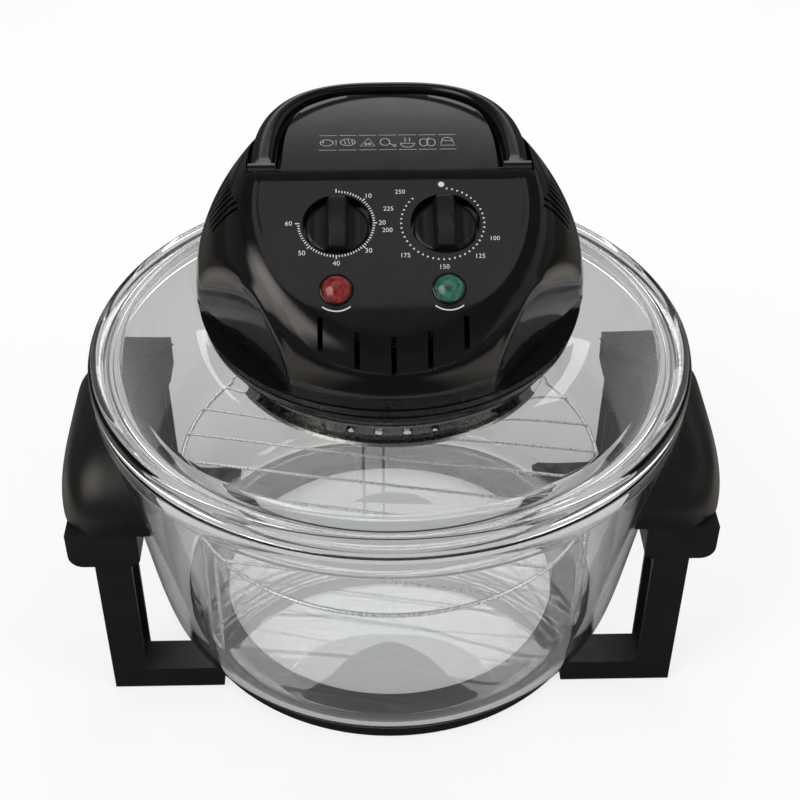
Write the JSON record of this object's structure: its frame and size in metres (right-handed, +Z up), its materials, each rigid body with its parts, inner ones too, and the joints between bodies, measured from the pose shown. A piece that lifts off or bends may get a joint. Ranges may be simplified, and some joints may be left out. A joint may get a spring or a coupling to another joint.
{
  "type": "halogen oven",
  "caption": "Tabletop halogen oven: glass bowl in a two-eared stand, wire rack, and a lift-off glass lid carrying a domed control head with knobs and a folding handle.",
  "frame": {"origin": "on the table under the middle of the bowl", "axes": "+Z up, the control face looks towards -Y, the ears lie along X"},
  "size_m": [0.374, 0.34, 0.3128],
  "materials": {
    "stand_plastic": "matte black moulding",
    "ear_plastic": "satin-gloss black moulding",
    "rubber": "matte",
    "screw_steel": "zinc plated",
    "clear_glass": "clear tempered",
    "rack_chrome": "bright wire",
    "pressed_steel": "pressed",
    "silicone": "matte",
    "pan_aluminium": "bright",
    "quartz": "frosted quartz",
    "ceramic": "white ceramic",
    "head_gloss": "high-gloss black",
    "panel_satin": "satin charcoal",
    "red_lens": "translucent red",
    "green_lens": "translucent green",
    "inner_plastic": "moulded",
    "inner_metal": "plain",
    "inlet_plastic": "matte black",
    "handle_gloss": "gloss black",
    "knob_plastic": "satin black"
  },
  "bodies": {
    "stand": {"base_ring": "stand_plastic", "left_support": "stand_plastic", "right_support": "stand_plastic", "left_ear": "ear_plastic", "right_ear": "ear_plastic", "rubber_feet": "rubber", "bowl_pads": "rubber", "support_screws": "screw_steel", "ear_screws": "screw_steel"},
    "bowl": {"glass_bowl": "clear_glass"},
    "rack": {"wire_rack": "rack_chrome"},
    "lid": {"glass_lid": "clear_glass", "clamp_ring": "pressed_steel", "lower_gasket": "silicone", "upper_gasket": "silicone", "lamp_guard": "pressed_steel", "reflector": "pan_aluminium", "ring_lamp": "quartz", "lamp_holders": "ceramic", "clamp_screws": "screw_steel", "head_base": "head_gloss", "head_shell": "head_gloss", "raised_deck": "head_gloss", "control_panel": "panel_satin", "head_screws": "screw_steel", "power_lens": "red_lens", "heat_lens": "green_lens", "lamp_bodies": "inner_plastic", "timer_unit": "inner_metal", "thermostat": "inner_metal", "motor": "inner_metal", "terminal_block": "inner_plastic", "power_inlet": "inlet_plastic", "inlet_pins": "screw_steel", "handle_pins": "screw_steel"},
    "handle": {"carry_handle": "handle_gloss"},
    "timer": {"timer_shaft": "screw_steel", "timer_knob": "knob_plastic"},
    "temperature": {"temp_shaft": "screw_steel", "temp_knob": "knob_plastic"},
    "fan": {"motor_shaft": "screw_steel", "hot_air_fan": "pressed_steel", "cooling_fan": "inner_plastic"}
  },
  "joints": [
    {"name": "bowl_lift", "type": "slide", "parent": "stand", "child": "bowl", "axis": [0, 0, 1], "range_m": [0, 0.16]},
    {"name": "rack_lift", "type": "slide", "parent": "bowl", "child": "rack", "axis": [0, 0, 1], "range_m": [0, 0.075]},
    {"name": "lid_lift", "type": "slide", "parent": "bowl", "child": "lid", "axis": [0, 0, 1], "range_m": [0, 0.16]},
    {"name": "handle_fold", "type": "hinge", "parent": "lid", "child": "handle", "pos_m": [0, -0.003, 0.2999], "axis": [1, 0, 0], "range_deg": [0, 90]},
    {"name": "timer_turn", "type": "hinge", "parent": "lid", "child": "timer", "pos_m": [-0.0273, -0.0405, 0.29355], "axis": [0, 0.4226, -0.9063], "range_deg": [0, 270]},
    {"name": "temperature_turn", "type": "hinge", "parent": "lid", "child": "temperature", "pos_m": [0.0273, -0.0405, 0.29355], "axis": [0, 0.4226, -0.9063], "range_deg": [0, 315]},
    {"name": "fan_spin", "type": "hinge", "parent": "lid", "child": "fan", "pos_m": [0, 0, 0.2], "axis": [0, 0, 1], "continuous": true}
  ]
}
